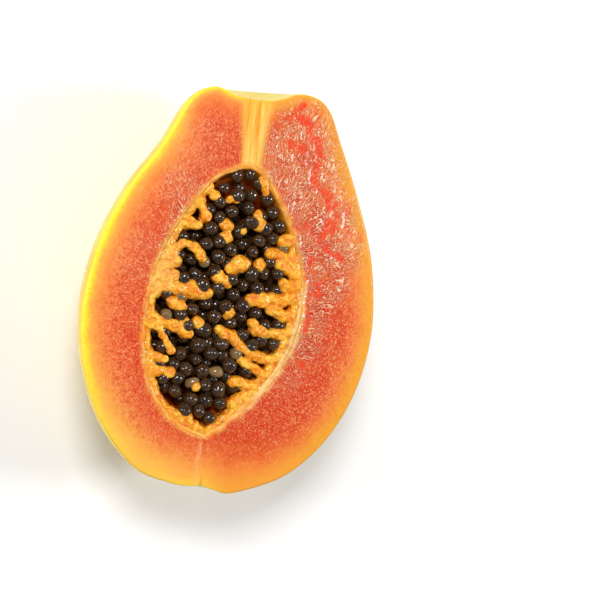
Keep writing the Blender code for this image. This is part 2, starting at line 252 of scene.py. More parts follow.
def open_socket(sockets, key):
    """A socket by its number, or the one with that name that the node's settings leave in use."""
    if isinstance(key, int):
        return sockets[key]
    return next(s for s in sockets if s.name == key and s.enabled)


def is_link(value):
    return isinstance(value, bpy.types.NodeSocket)


def put_node(kind, inputs, tree=None, **settings):
    """A node with its settings, in the tree that its inputs are links from, where no other is named."""
    tree = tree or next(value.id_data for value in inputs.values() if is_link(value))
    node = tree.nodes.new(kind)
    for name, value in settings.items():
        setattr(node, name, value)
    for key, value in inputs.items():
        if is_link(value):
            tree.links.new(value, open_socket(node.inputs, key))
        else:
            open_socket(node.inputs, key).default_value = value
    return node


def work_out(operation, *values):
    """A sum of one, two or three numbers, each a value or a link."""
    return put_node("ShaderNodeMath", dict(enumerate(values)), operation=operation).outputs[0]


def times(*shares):
    """The product of several masks or numbers."""
    product = shares[0]
    for share in shares[1:]:
        product = work_out("MULTIPLY", product, share)
    return product


def times_plus(value, factor, more):
    return work_out("MULTIPLY_ADD", value, factor, more)


def centred(value):
    """A soft random value moved to run from -1 to 1."""
    return times_plus(value, 2.0, -1.0)


def step_up(value, low, high, low_to=0.0, high_to=1.0):
    """0 below low and 1 above high, or other ends, smooth between."""
    inputs = {"Value": value, "From Min": low, "From Max": high, "To Min": low_to, "To Max": high_to}
    return put_node("ShaderNodeMapRange", inputs, interpolation_type="SMOOTHSTEP").outputs[0]


def fade(value, low, high, most=1.0):
    """The most below low and 0 above high, smooth between."""
    return step_up(value, low, high, most, 0.0)


def stretch(place, size):
    """A place divided by a size, or by one for each axis, so that a pattern read there grows by it."""
    size = (size,) * 3 if isinstance(size, (int, float)) else size
    return put_node("ShaderNodeVectorMath", {0: place, 1: size}, operation="DIVIDE").outputs[0]


def axes_of(place):
    return put_node("ShaderNodeSeparateXYZ", {0: place}).outputs


def cloud(place, size, detail=2.0, roughness=0.5, distortion=0.0):
    """Soft random values from 0 to 1, in blots of about that size."""
    return put_node("ShaderNodeTexNoise", {
        "Vector": stretch(place, size), "Scale": 1.0, "Detail": detail, "Roughness": roughness,
        "Distortion": distortion,
    }).outputs[0]


def fact(tree, name, kind="FLOAT"):
    """What a geometry tree's mesh stores under a name."""
    node = put_node("GeometryNodeInputNamedAttribute", {"Name": name}, tree, data_type=kind)
    return open_socket(node.outputs, "Attribute")


def start_tree(name, sizes):
    """A geometry tree for a mesh and these named sizes: itself, its inputs and each point's place."""
    tree = bpy.data.node_groups.new(name, "GeometryNodeTree")
    for way in ("INPUT", "OUTPUT"):
        tree.interface.new_socket("Geometry", in_out=way, socket_type="NodeSocketGeometry")
    kinds = {float: "NodeSocketFloat", int: "NodeSocketInt", bpy.types.Material: "NodeSocketMaterial"}
    for label, value in sizes.items():
        tree.interface.new_socket(label, in_out="INPUT", socket_type=kinds[type(value)])
    given = tree.nodes.new("NodeGroupInput").outputs
    return tree, given, tree.nodes.new("GeometryNodeInputPosition").outputs[0]


def moved(geometry, **where):
    """A mesh with its points put at a Position or moved by an Offset."""
    return put_node("GeometryNodeSetPosition", {"Geometry": geometry, **where}).outputs[0]


def evened(geometry, place, rounds, weight):
    """A mesh smoothed by moving its points to the mean of their neighbours, as far as their weight says."""
    blur = put_node("GeometryNodeBlurAttribute", {
        "Value": place, "Iterations": rounds, "Weight": weight}, data_type="FLOAT_VECTOR")
    return moved(geometry, Position=open_socket(blur.outputs, "Value"))


def push_out(geometry, height):
    """Moves each point along its normal."""
    normal = geometry.id_data.nodes.new("GeometryNodeInputNormal").outputs[0]
    offset = put_node("ShaderNodeVectorMath", {0: normal, "Scale": height}, operation="SCALE")
    return moved(geometry, Offset=offset.outputs[0])


def coated(geometry, finish, selection=True):
    """A mesh in a material, all over or on a selection of its faces."""
    inputs = {"Geometry": geometry, "Material": finish, "Selection": selection}
    return put_node("GeometryNodeSetMaterial", inputs).outputs[0]


def end_tree(geometry, finish, selection=True):
    """The last nodes of a tree: one plain, smooth mesh in its material."""
    smooth = put_node("GeometryNodeSetShadeSmooth", {"Geometry": geometry}).outputs[0]
    whole = put_node("GeometryNodeRealizeInstances", {"Geometry": smooth}).outputs[0]
    put_node("NodeGroupOutput", {0: coated(whole, finish, selection)})
    return geometry.id_data


def grown(name, mesh, tree, values):
    """A plain mesh object: what a geometry tree makes of a mesh with these values."""
    thing = add_object(name, mesh)
    modifier = thing.modifiers.new(tree.name, "NODES")
    modifier.node_group = tree
    for item in tree.interface.items_tree:
        if item.in_out == "INPUT" and item.name in values:
            modifier[item.identifier] = values[item.name]
    graph = bpy.context.evaluated_depsgraph_get()
    made = bpy.data.meshes.new_from_object(
        thing.evaluated_get(graph), preserve_all_data_layers=True, depsgraph=graph)
    thing.modifiers.remove(modifier)
    thing.data = made
    bpy.data.meshes.remove(mesh)
    return thing


def relief_tree(sizes):
    """Rounds the knife's sharp edges and raises the cut face's waves, wrinkles and grain."""
    tree, given, place = start_tree("cut_relief", sizes)
    rounded = evened(given["Geometry"], place, given["Edge rounding"], fact(tree, "near_edge"))
    on_cut, lining, from_skin = (fact(tree, name) for name in ("on_cut", "lining", "from_skin"))
    bare = work_out("MAXIMUM", work_out("SUBTRACT", on_cut, lining), 0.0)
    waves = centred(cloud(place, given["Wave size"]))
    waves = times(waves, times(given["Wave height"], on_cut))
    widths = put_node("ShaderNodeCombineXYZ", {
        "X": given["Wrinkle width"], "Y": given["Wrinkle length"], "Z": 1.0}).outputs[0]
    fibres = fact(tree, "fibre", "FLOAT_VECTOR")
    wrinkles = step_up(cloud(fibres, widths, roughness=0.55, distortion=0.7), 0.3, 0.7)
    torn = times(fact(tree, "wet"), bare, step_up(from_skin, 4.0, 10.0),
                 step_up(fact(tree, "smooth_red"), 0.1, 0.7, 1.0, 0.15))
    wrinkles = times(wrinkles, times(given["Wrinkle height"], torn))
    grain = centred(cloud(place, given["Grain size"], detail=1.0))
    grain = times(grain, times(given["Grain height"], bare), step_up(from_skin, 4.0, 12.0))
    lumps = centred(cloud(place, given["Lump size"]))
    lumps = times(lumps, times(given["Lump height"], lining))
    height = waves
    for more in (wrinkles, grain, lumps):
        height = work_out("ADD", height, more)
    fleshed = coated(push_out(rounded, height), given["Flesh"])
    return end_tree(fleshed, given["Skin"], fact(tree, "skin_face"))


def shade(red, green, blue):
    """A colour in linear light, from its usual values of 0 to 255."""
    shares = (red / 255, green / 255, blue / 255)
    return tuple(((c + 0.055) / 1.055) ** 2.4 if c > 0.04 else c / 12.92 for c in shares)


def read(tree, name, socket="Fac"):
    """What a material's mesh stores under a name."""
    return put_node("ShaderNodeAttribute", {}, tree, attribute_name=name).outputs[socket]


def ramp(value, stops):
    """A colour that changes along a value from 0 to 1: its stops are a value and a colour each."""
    node = put_node("ShaderNodeValToRGB", {"Fac": value})
    row = node.color_ramp.elements
    row.remove(row[1])
    row[0].position = stops[0][0]
    row[0].color = (*shade(*stops[0][1:]), 1)
    for at, *colour in stops[1:]:
        row.new(at).color = (*shade(*colour), 1)
    return node.outputs["Color"]


def blend(share, below, above):
    """One colour over another, by a share."""
    below, above = (c if is_link(c) else (*c, 1) for c in (below, above))
    return put_node("ShaderNodeMix", {0: share, 6: below, 7: above}, data_type="RGBA").outputs[2]


def tint(base, share, red, green, blue):
    """A colour of 0 to 255 laid over a base, by a share."""
    return blend(share, base, shade(red, green, blue))


def start_material(name, constants):
    """A material's tree and shader, with what is the same all over set on the shader itself."""
    finish = bpy.data.materials.new(name)
    finish.use_nodes = True
    shader = finish.node_tree.nodes["Principled BSDF"]
    for label, value in constants.items():
        shader.inputs[label].default_value = value
    return finish, finish.node_tree, shader


def connect(shader, links):
    for label, value in links.items():
        shader.id_data.links.new(value, shader.inputs[label])


def bump(height, distance):
    return put_node("ShaderNodeBump", {"Height": height, "Distance": distance}).outputs[0]


def place_in_mm(tree):
    """Where a point of the piece is, in millimetres, and its x, y and z."""
    place = stretch(tree.nodes.new("ShaderNodeTexCoord").outputs["Object"], MM)
    return place, *axes_of(place)


def grain_group():
    """Juicy cells, for flesh and pulp: pale ones, dark ones and the height of their walls."""
    group = bpy.data.node_groups.new("juicy_cells", "ShaderNodeTree")
    for name, kind in (("Place", "NodeSocketVector"), ("Cell size", "NodeSocketFloat")):
        group.interface.new_socket(name, in_out="INPUT", socket_type=kind)
    for name in ("Pale cells", "Dark cells", "Height"):
        group.interface.new_socket(name, in_out="OUTPUT", socket_type="NodeSocketFloat")
    given = group.nodes.new("NodeGroupInput").outputs
    place = stretch(given["Place"], given["Cell size"])
    cells = cloud(place, 1.0, detail=3.0, roughness=0.62, distortion=0.5)
    elsewhere = put_node("ShaderNodeVectorMath", {0: place, 1: (17.3, 5.1, 9.7)}).outputs[0]
    other = cloud(elsewhere, 1.3, roughness=0.6)
    put_node("NodeGroupOutput", {
        "Pale cells": step_up(cells, 0.5, 0.62),
        "Dark cells": step_up(other, 0.5, 0.62),
        "Height": times_plus(other, 0.6, cells),
    })
    return group


juicy_cells = grain_group()


def put_cells(place, size):
    return put_node("ShaderNodeGroup", {"Place": place, "Cell size": size}, node_tree=juicy_cells).outputs


def contours(value, levels, phase):
    """Thin lines that follow a soft random value's levels, for painted highlights and painted shade along wet
    wrinkles and folds.
    """
    turned = times_plus(value, levels * math.tau, phase)
    return step_up(work_out("SINE", turned), 0.55, 0.95)


def make_flesh():
    """Yellow under the skin, then orange and salmon red, with a paler lining round the cavity."""
    finish, tree, shader = start_material("ripe_flesh", {
        "IOR": 1.26, "Subsurface Weight": 0.05, "Subsurface Radius": (1.0, 0.4, 0.15),
        "Subsurface Scale": 1.5 * MM, "Coat Roughness": 0.1, "Coat IOR": 1.33,
    })
    place, x, y, _ = place_in_mm(tree)
    from_skin = read(tree, "from_skin")
    wander = times_plus(cloud(place, 9, detail=3.0), 5.0, -2.5)
    depth = times_plus(step_up(from_skin, 0.0, 4.0), wander, from_skin)
    low_left = times(fade(y, -58, -15), fade(x, -30, 10))
    reach = step_up(y, 56, 74, 30.0, 17.0)
    depth = work_out("DIVIDE", depth, times_plus(low_left, 9.0, reach))
    left = ramp(depth, [
        (0.0, 246, 238, 40), (0.05, 242, 212, 50), (0.1, 239, 170, 68), (0.2, 232, 136, 62),
        (0.33, 229, 110, 52), (0.47, 220, 86, 38), (0.65, 212, 68, 18),
    ])
    right = ramp(depth, [
        (0.0, 226, 180, 64), (0.04, 232, 160, 42), (0.15, 230, 148, 46), (0.25, 228, 124, 48),
        (0.35, 222, 98, 38), (0.45, 212, 72, 22), (0.65, 206, 58, 12),
    ])
    # painted light: the left ramp is yellower and brighter than the right, for the glow where the light from
    # the left shines through skin and flesh
    base = blend(step_up(x, -16, 8), left, right)
    base = tint(base, fade(y, -64, -46, 0.35), 242, 144, 62)

    pale_corner = times(low_left, fade(from_skin, 3.0, 17.0, 0.7))
    base = tint(base, pale_corner, 244, 184, 78)

    fibres = stretch(read(tree, "fibre", "Vector"), MM)
    cells = put_cells(stretch(fibres, (1.0, 1.15, 1.0)), 0.72)
    low_end = step_up(y, -66, -30, 0.3, 1.0)
    cellular = times(step_up(from_skin, 4.0, 13.0, 0.2, 1.0), low_end)
    mottle = cloud(place, 3, detail=4.0, roughness=0.7)
    base = tint(base, step_up(mottle, 0.5, 0.7, 0.0, 0.3), 240, 170, 90)
    dull = times(fade(mottle, 0.32, 0.48, 0.25), step_up(from_skin, 5.0, 14.0, 0.2, 1.0))
    base = tint(base, dull, 206, 66, 18)
    base = tint(base, times(cells["Pale cells"], cellular, 0.55), 246, 180, 122)
    base = tint(base, times(cells["Dark cells"], cellular, 0.65), 198, 32, 8)

    # wet and torn on the right: a pale film that is painted sheen, thin wrinkle lines with painted glints and
    # painted shade beside them, and smooth, deep red channels
    wet = read(tree, "wet")
    inner = times(wet, step_up(from_skin, 2.5, 6.5, 0.4, 1.0), step_up(from_skin, 0.4, 1.6))
    # painted sheen: the wet flesh is made paler in soft patches, for the light that the wet surface reflects
    sheen_film = times(step_up(cloud(place, 8), 0.38, 0.58), inner)
    base = tint(base, times(sheen_film, 0.42), 240, 140, 72)
    channels = cloud(place, 3.4, detail=4.0, roughness=0.65, distortion=0.8)
    channels = times_plus(read(tree, "smooth_red"), 0.28, channels)
    red = times(step_up(channels, 0.54, 0.8), step_up(from_skin, 1.5, 4.0),
                step_up(work_out("ADD", wet, read(tree, "smooth_red")), 0.1, 0.5))
    base = tint(base, times(red, 0.92), 230, 56, 0)
    run = axes_of(fibres)["X"]
    wrinkles = cloud(fibres, WRINKLE, detail=3.0, roughness=0.6, distortion=0.8)
    wrinkles = times_plus(wrinkles, 1.7, work_out("DIVIDE", run, RIPPLE))
    patchy = step_up(cloud(place, 6), 0.32, 0.5, 0.35, 1.0)
    bare = times(inner, patchy, step_up(red, 0.2, 0.9, 1.0, 0.3))
    # painted shade: dark red lines beside the glint lines, where the wrinkles' sides turn away from the light
    furrow_shade = times(contours(wrinkles, 5.0, 2.2), bare)
    base = tint(base, times(furrow_shade, 0.62), 168, 40, 10)
    # painted highlights: near-white lines along the wrinkles' ridges, for the light they reflect; the same
    # lines also raise the bump
    painted_glints = times(contours(wrinkles, 5.0, 0.0), bare)
    base = tint(base, times(painted_glints, 0.95), 255, 222, 184)

    # the strand of vessels from the stem, the pale line down to the blossom end and its brown scar
    grain = cloud(place, (1.2, 14, 6), detail=3.0, roughness=0.6)
    half_width = step_up(y, 50, 76, 4.2, 6.0)
    inside = work_out("DIVIDE", work_out("ABSOLUTE", x), half_width)
    wavy = times_plus(grain, 0.8, work_out("SUBTRACT", inside, 0.4))
    vessel = times(fade(wavy, 0.6, 1.3), step_up(y, 49, 51))
    strand = ramp(grain, [
        (0.25, 230, 128, 34), (0.4, 238, 168, 50), (0.52, 240, 186, 72), (0.7, 248, 214, 120)])
    base = blend(times(vessel, 0.9), base, strand)
    sway = times_plus(cloud(place, 9), 3, x)
    off_line = work_out("ABSOLUTE", work_out("ADD", sway, LINE_LEFT))
    line = times(fade(off_line, 0.2, 1.0), fade(y, -53, -49), step_up(grain, 0.4, 0.6, 0.3, 1.0))
    base = tint(base, times(line, 0.6), 248, 186, 130)
    off_scar = work_out("ABSOLUTE", work_out("ADD", sway, SCAR_LEFT))
    scar = times(fade(off_scar, 0.2, 1.1), fade(y, -68, -62), step_up(grain, 0.35, 0.6, 0.2, 1.0))
    base = tint(base, times(scar, 0.7), 186, 84, 20)

    # the lining: deep orange at its edge, then paler, in feathery layers; down the cavity wall it darkens to
    # red-brown, which is painted shade
    rim_cloud = cloud(place, 4, detail=3.0, roughness=0.6)
    low_right = times(step_up(x, 0.0, 14), fade(y, 0.0, 20))
    off_wall = times_plus(low_right, -1.4, read(tree, "from_cavity"))
    rim = times_plus(rim_cloud, 3.4, work_out("SUBTRACT", off_wall, 1.7))
    feathers = cloud(fibres, (0.7, 4, 1.0), roughness=0.6)
    rim = times_plus(feathers, 2.6, work_out("SUBTRACT", rim, 1.3))
    lining = fade(rim, 0.8, 3.4)
    # painted shade: the darkest stops are reached only down the cavity wall, darker the deeper it goes
    rim_tint_and_shade = ramp(times_plus(rim, 0.04, 0.6), [
        (0.0, 104, 10, 2), (0.25, 186, 60, 6), (0.52, 226, 132, 14),
        (0.62, 236, 152, 32), (0.72, 238, 150, 60), (0.8, 232, 128, 54),
    ])
    layers = cloud(fibres, (9, 0.8, 1.0))
    level = step_up(read(tree, "from_cavity"), -1.2, 0.2)
    pale_layers = times(step_up(layers, 0.44, 0.6, 0.0, 0.8), level)
    rim_tint_and_shade = tint(rim_tint_and_shade, pale_layers, 246, 196, 110)
    pale_right = times(low_right, step_up(layers, 0.36, 0.56, 0.15, 0.75))
    rim_tint_and_shade = tint(rim_tint_and_shade, pale_right, 250, 212, 140)
    base = blend(times(lining, 0.92), base, rim_tint_and_shade)

    coat = step_up(work_out("MAXIMUM", inner, red), 0.0, 1.0, 0.2, 0.8)
    height = times(cells["Height"], step_up(cellular, 0.0, 1.0, 0.15, 1.0))
    height = work_out("ADD", height, times(painted_glints, 0.9))
    connect(shader, {
        "Base Color": base, "Roughness": step_up(cells["Height"], 0.5, 1.1, 0.24, 0.42),
        "Coat Weight": coat, "Normal": bump(height, 0.3 * MM),
    })
    return finish


def make_skin():
    """Ripe yellow, faintly green towards the stem, with small pale spots and a waxy shine."""
    finish, tree, shader = start_material("ripe_skin", {
        "IOR": 1.45, "Subsurface Weight": 0.1, "Subsurface Radius": (1.0, 0.7, 0.1),
        "Subsurface Scale": 1.5 * MM, "Coat Weight": 0.35, "Coat Roughness": 0.22,
    })
    place, _, y, _ = place_in_mm(tree)
    broad = cloud(place, (24, 40, 24), detail=3.0)
    base = ramp(broad, [(0.25, 236, 178, 14), (0.5, 244, 210, 26), (0.72, 240, 216, 44)])
    mottle = cloud(place, (5, 9, 5), detail=4.0, roughness=0.65)
    base = tint(base, step_up(mottle, 0.46, 0.66, 0.0, 0.45), 228, 170, 30)
    base = tint(base, fade(mottle, 0.3, 0.44, 0.35), 224, 214, 60)
    stem_side = times_plus(broad, 60.0, y)
    base = tint(base, step_up(stem_side, 90, 122, 0.0, 0.5), 206, 196, 30)
    spots = put_node("ShaderNodeTexVoronoi", {"Vector": stretch(place, 3.2), "Scale": 1.0})
    pale = fade(spots.outputs["Distance"], 0.06, 0.13)
    base = tint(base, times(pale, 0.5), 255, 240, 150)
    scar = cloud(place, 7, detail=5.0, roughness=0.7)
    base = tint(base, step_up(scar, 0.66, 0.72, 0.0, 0.35), 186, 132, 46)
    fine = cloud(place, 0.9)
    height = work_out("ADD", times(fine, 0.5), times(broad, 2.0))
    connect(shader, {
        "Base Color": base, "Roughness": step_up(fine, 0.3, 0.7, 0.34, 0.46),
        "Normal": bump(height, 0.12 * MM),
    })
    return finish


fruit_sizes = {
    "Edge rounding": 5, "Wave size": 11 * MM, "Wave height": 0.25 * MM,
    "Wrinkle width": WRINKLE[0] * MM, "Wrinkle length": WRINKLE[1] * MM, "Wrinkle height": 0.4 * MM,
    "Grain size": 1.6 * MM, "Grain height": 0.12 * MM, "Lump size": 3.0 * MM, "Lump height": 0.5 * MM,
    "Flesh": make_flesh(), "Skin": make_skin(),
}
fruit = grown("fruit_half", fruit_body(), relief_tree(fruit_sizes), fruit_sizes)
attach(fruit, "root")
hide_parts("papaya_half")

# Pulp
# Soft orange-yellow strands and lobes that grow from the lining between the seeds, torn and cut level
# by the knife. They are one spongy tissue, so they are drawn as one skin round many overlapping balls.

# Each strand: its radius, and its course from the wall inwards
STRANDS = [
    (2.0, [(-19, 33), (-17, 31.5), (-15, 28.5), (-14.5, 26.5)]),
    (1.7, [(-21.5, 24), (-17, 23)]),
    (1.8, [(-26, 13), (-24, 15.5), (-21, 17), (-18.5, 16.5), (-14, 11)]),
    (2.6, [(-32, 7), (-28.5, 8), (-24.5, 9.5)]),
    (3.0, [(-32.5, 3.5), (-23.5, 4.5)]),
    (2.9, [(-32, 0), (-26.5, 0.5), (-20.5, 0), (-11, -1.5)]),
    (2.3, [(-32.5, -12), (-28, -12), (-24, -13), (-16.5, -16.5)]),
    (1.6, [(-31, -13), (-28, -15), (-26, -18), (-22.5, -22.5)]),
    (2.0, [(-31.5, -24.5), (-24.5, -26)]),
    (2.2, [(-30.5, -30), (-21, -31)]),
    (2.2, [(-20, -46), (-13.5, -47)]),
    (1.9, [(-11, -51), (-6, -52)]),
    (1.6, [(6, 43), (6.5, 40), (8, 37)]),
    (2.3, [(20.5, 21.5), (17, 21)]),
    (2.3, [(23.5, 12), (18, 15), (12.5, 16)]),
    (2.5, [(24, 8), (20, 10.5), (17, 12.5)]),
    (2.3, [(25, 4.5), (21.5, 3.5), (18.5, 5)]),
    (2.9, [(25.5, 0), (19.5, -0.5), (14.5, -2), (6, -2)]),
    (2.3, [(25, -7), (20.5, -7), (14.5, -5)]),
    (2.4, [(24, -14), (19.5, -14), (10, -13.5)]),
    (2.2, [(22, -23.5), (15.5, -23.5), (10.5, -22.5), (6, -21), (-1, -15), (-5, -14)]),
    (1.9, [(17, -31), (12.5, -28.5), (5, -24.5)]),
    (2.4, [(13.5, -35.5), (9, -34), (3, -32.5)]),
    (2.6, [(10.5, -39.5), (7, -39), (4, -40.5)]),
]
STRAND_TOP = 0.1  # above the cut face
STRAND_STEP = 4.2  # least distance between the points of a strand's path
STRAND_SWELL = 0.12  # how much thicker and thinner it gets along the way
ROOT = 5.0  # how far strands and stalks are sunk into the flesh
# Each lobe: x, y, radius
LOBES = [
    (-12, 34.5, 1.9), (-6, 34, 1.6), (5.5, 29, 1.7), (6.5, 26, 2.3), (0.5, 23, 1.2), (-6.5, 24.5, 2.5),
    (-6, 20, 2.3), (1.5, 11, 3.0), (-2, 9, 2.5), (-7.5, 5, 2.3), (-4, 4, 2.2), (8.5, 11, 2.3),
    (-23.5, -5.5, 2.4), (-20.5, -6.5, 2.1), (-18.5, -11.5, 1.9), (-13.5, -12, 2.3), (-1.5, -7.5, 2.1),
    (6.5, -2.5, 2.0), (8, -10.5, 1.9), (-11, -35.5, 1.6), (-3.5, 33.5, 1.2),
]
STALK = 0.6  # its stalk's radius, as a share of its own
BALL_STEP = 0.45  # between balls along a strand, as a share of its radius
BALL_SIZES = (0.78, 1.06)  # the smallest and largest, as shares of the strand's radius
BALL_STRAY = 0.22  # how far they lie beside its course, as a share of their radius
BALL_LIFT = (-1.6, 0.4)  # and below or above its top
BALL_LIMIT = 1.03  # no ball's middle is farther out than this share of the cavity
BUD_SHARE = 0.3  # how many balls carry a bud
BUD_SIZES = (0.3, 0.6)  # as shares of the radius of the ball that carries it
CLUSTER = 5  # balls round a lobe's torn top
FLARE = 0.45  # how much wider strands are at the wall
FLARE_REACH = 5.0  # and how far from it they still are
BARE_RIGHT = 20.0  # nearer to the stem the right wall of the cavity is bare
BARE_LEFT = 38.0  # and the left one
PULP_RANDOM = 5  # the seed of its random draws


def smooth_curve(points, steps):
    """A smooth curve through a row of points, with each span cut in equal steps."""
    spans = len(points) - 1
    return [Vector(p) for p in curve_at(points, np.linspace(0, spans, spans * steps + 1))]


RIGHT_CURVE = smooth_curve(CAVITY_RIGHT, 8)
LEFT_CURVE = smooth_curve(CAVITY_LEFT, 8)


def edge_at(outline, y):
    """How far to the right an outline of the cavity is, at a place along the fruit."""
    rows = sorted((p.y, p.x) for p in outline)
    for (y0, x0), (y1, x1) in zip(rows, rows[1:]):
        if y0 <= y < y1:
            return x0 + (x1 - x0) * (y - y0) / (y1 - y0)
    return rows[0][1] if y < rows[0][0] else rows[-1][1]


def filling(x, y, z):
    """0 in the cavity's middle and 1 on its wall. Above the cut face only the outline counts."""
    right, left = edge_at(RIGHT_CURVE, y), edge_at(LEFT_CURVE, y)
    return math.hypot(x - (right + left) / 2, max(-z, 0) / CAVITY_DEPTH) / max((right - left) / 2, 0.5)


def strand_path(radius, points):
    """A strand's line of (centre, radius), from its root in the flesh to its tip."""
    start, second = Vector(points[0]), Vector(points[1])
    root = start + (start - second).normalized() * ROOT
    line = smooth_curve([root, *points], 4)
    kept = [line[0]]
    for p in line[1:-1]:
        if (p - kept[-1]).length > STRAND_STEP and (p - line[-1]).length > STRAND_STEP / 2:
            kept.append(p)
    kept.append(line[-1])
    path = []
    for i, p in enumerate(kept):
        swell = 1 + STRAND_SWELL * math.sin(2.1 * i + points[0][1])
        path.append((Vector((p.x, p.y, STRAND_TOP - radius)), radius * swell))
    return path


def lobe_path(x, y, radius):
    """A lobe's line of (centre, radius), from its root under the cavity's floor to its round top."""
    floor = 0.0
    while filling(x, y, floor) < 1:
        floor -= 0.5
    return [
        (Vector((x, y, floor - ROOT)), radius * STALK * 1.3),
        (Vector((x, y, LOBE_TOP - 1.5 - 2.6 * radius)), radius * STALK),
        (Vector((x, y, LOBE_TOP - 1.7 * radius)), radius * 0.92),
        (Vector((x, y, LOBE_TOP - 0.8 * radius)), radius),
    ]


pulp_paths = [strand_path(*strand) for strand in STRANDS] + [lobe_path(*lobe) for lobe in LOBES]


def spaced(path, ends):
    """For balls along a path: how far along it, centre and radius. With ends, joints are met twice."""
    run = 0.0
    for (a, radius_a), (b, radius_b) in zip(path, path[1:]):
        length = (b - a).length
        steps = max(1, round(length / (BALL_STEP * (radius_a + radius_b) / 2)))
        for k in range(steps + ends):
            yield run + length * k / steps, a.lerp(b, k / steps), radius_a + (radius_b - radius_a) * k / steps
        run += length


def strand_balls(path, draw):
    """Balls of (centre, radius) along a strand, with buds, wider and spread along the wall at its root."""
    balls = []
    for run, spot, width in spaced(path, True):
        reach = max(0.0, 1 - max(0.0, run - ROOT) / FLARE_REACH)
        radius = width * draw.uniform(*BALL_SIZES) * (1 + FLARE * reach**2)
        centre = spot + Vector((draw.uniform(-1, 1), draw.uniform(-1, 1), 0)) * BALL_STRAY * radius
        centre.z = STRAND_TOP + draw.uniform(*BALL_LIFT) - 0.75 * radius
        if filling(*centre) > BALL_LIMIT:
            continue
        balls.append((centre, radius))
        if draw.random() < BUD_SHARE:
            side = Vector((draw.uniform(-1, 1), draw.uniform(-1, 1), draw.uniform(-0.6, 0.3))).normalized()
            balls.append((centre + side * radius * 0.7, radius * draw.uniform(*BUD_SIZES)))
    return balls


def lobe_balls(path, draw):
    """Balls of (centre, radius) up a lobe's stalk, with a cluster for its torn, flat top."""
    balls = [(spot, width * draw.uniform(0.75, 1)) for _, spot, width in spaced(path, False)]
    top, radius = path[-1]
    balls.append(path[-1])
    for k in range(CLUSTER):
        turn = math.tau * (k + draw.uniform(-0.3, 0.3)) / CLUSTER
        side = Vector((math.cos(turn), math.sin(turn), 0)) * radius * draw.uniform(0.35, 0.75)
        size = radius * draw.uniform(0.55, 0.8)
        balls.append((Vector((top.x, top.y, LOBE_TOP - size - draw.uniform(0.0, 0.8))) + side, size))
    return balls


def rim_balls(draw):
    """Balls along the cavity's rim, just inside it, of uneven size and height."""
    balls = []
    for curve, side, bare_top in ((RIGHT_CURVE, -1, BARE_RIGHT), (LEFT_CURVE, 1, BARE_LEFT)):
        for p, q in zip(curve, curve[1:]):
            for k in range(4):
                spot = p.lerp(q, k / 4)
                radius = draw.uniform(1.0, 2.0)
                inset = side * (radius * 0.3 + draw.uniform(-0.3, 0.3))
                top = draw.uniform(-0.9, 0.2)
                if spot.y > bare_top:
                    continue
                balls.append((Vector((spot.x + inset, spot.y, top - radius)), radius))
                balls.append((Vector((spot.x + inset * 0.6, spot.y, top - 3.2 * radius)), radius * 1.2))
    return balls


def pulp_balls():
    draw = random.Random(PULP_RANDOM)
    balls = []
    for number, path in enumerate(pulp_paths):
        balls += strand_balls(path, draw) if number < len(STRANDS) else lobe_balls(path, draw)
    return balls + rim_balls(draw)


def loose_points(name, places):
    """A mesh of points only, at the centre that each of these pairs begins with."""
    mesh = bpy.data.meshes.new(name)
    mesh.from_pydata([(centre + TO_REST) * MM for centre, _ in places], [], [])
    return mesh


def ball_points():
    """The balls' centres as loose points, each with its thickness."""
    balls = pulp_balls()
    mesh = loose_points("pulp", balls)
    add_fact(mesh, "thickness", [radius * MM for _, radius in balls])
    return mesh


def pulp_tree(sizes):
    """One closed skin round all the balls, then its soft folds and its grain, cut level at the top."""
    tree, given, place = start_tree("pulp_skin", sizes)
    radius = fact(tree, "thickness")
    balls = put_node("GeometryNodeMeshToPoints", {"Mesh": given["Geometry"], "Radius": radius}).outputs[0]
    volume = put_node("GeometryNodePointsToVolume", {
        "Points": balls, "Density": 1.0, "Voxel Size": given["Voxel"], "Radius": radius,
    }, resolution_mode="VOXEL_SIZE").outputs[0]
    skin = put_node("GeometryNodeVolumeToMesh", {
        "Volume": volume, "Voxel Size": given["Voxel"], "Threshold": 0.1,
    }, resolution_mode="VOXEL_SIZE").outputs[0]
    soft = evened(skin, place, given["Smoothing"], 1.0)
    folds = centred(cloud(place, given["Fold size"], distortion=0.8))
    folded = push_out(soft, times(folds, given["Fold height"]))
    x, y, z = axes_of(place)
    level = work_out("SMOOTH_MIN", z, given["Top"], 0.8 * MM)
    levelled = put_node("ShaderNodeCombineXYZ", {"X": x, "Y": y, "Z": level})
    cut = moved(folded, Position=levelled.outputs[0])
    grain = centred(cloud(place, given["Grain size"]))
    return end_tree(push_out(cut, times(grain, given["Grain height"])), given["Finish"])


